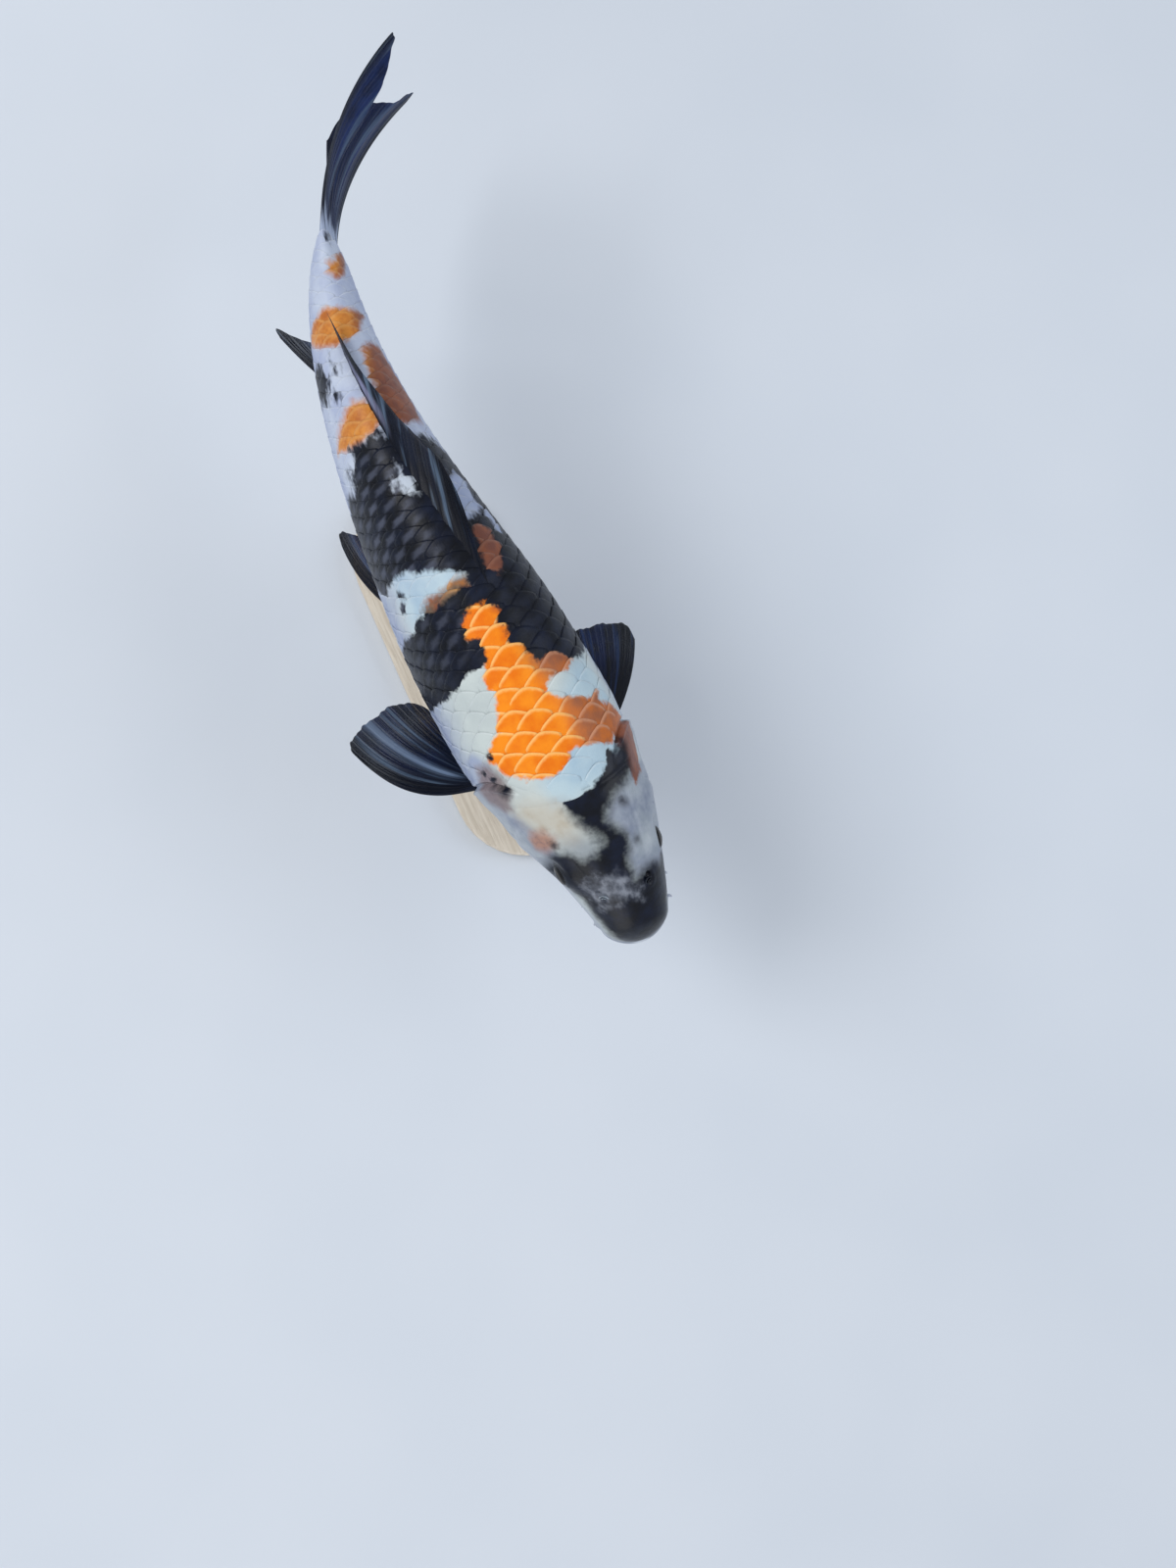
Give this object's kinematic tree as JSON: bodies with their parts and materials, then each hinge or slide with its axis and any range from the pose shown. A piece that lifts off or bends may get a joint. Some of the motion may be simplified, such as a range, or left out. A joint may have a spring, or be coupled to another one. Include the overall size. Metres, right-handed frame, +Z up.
{
  "type": "koi carp, life-size still model on a display stand",
  "caption": "Life-size still model of a swimming koi carp with folded dorsal fin and spread pectoral fins, held on a flat base by plain rods.",
  "frame": {"origin": "centre of the underside of the stand's base", "axes": "+Z up, the fish's head towards -Y and its tail towards +Y, its left side towards +X"},
  "size_m": [0.1274, 0.3466, 0.1552],
  "materials": {
    "skin": "wet, scaled skin: white with orange and black markings",
    "head": "wet, smooth skin: black and greyish white markings",
    "fins": "slate-black fin rays with translucent bluish membranes",
    "eyes": "glossy dark eye with a pale ring round the pupil",
    "stand_base": "plain oiled maple",
    "stand_metal": "brushed"
  },
  "bodies": {
    "root": {"head": "head", "lower_jaw": "head", "upper_lip": "head", "lower_lip": "head", "gill_cover_left": "head", "gill_cover_right": "head", "barbel_front_left": "head", "barbel_front_right": "head", "barbel_rear_left": "head", "barbel_rear_right": "head", "eye_left": "eyes", "eye_right": "eyes", "trunk_front": "skin", "trunk_rear": "skin", "tail_stalk": "skin", "dorsal_fin": "fins", "anal_fin": "fins", "caudal_fin_upper": "fins", "caudal_fin_lower": "fins", "pectoral_fin_left": "fins", "pectoral_fin_right": "fins", "pelvic_fin_left": "fins", "pelvic_fin_right": "fins", "stand_base": "stand_base", "stand_rod_front": "stand_metal", "stand_rod_rear": "stand_metal", "stand_collar_front": "stand_metal", "stand_collar_rear": "stand_metal"}
  },
  "joints": []
}
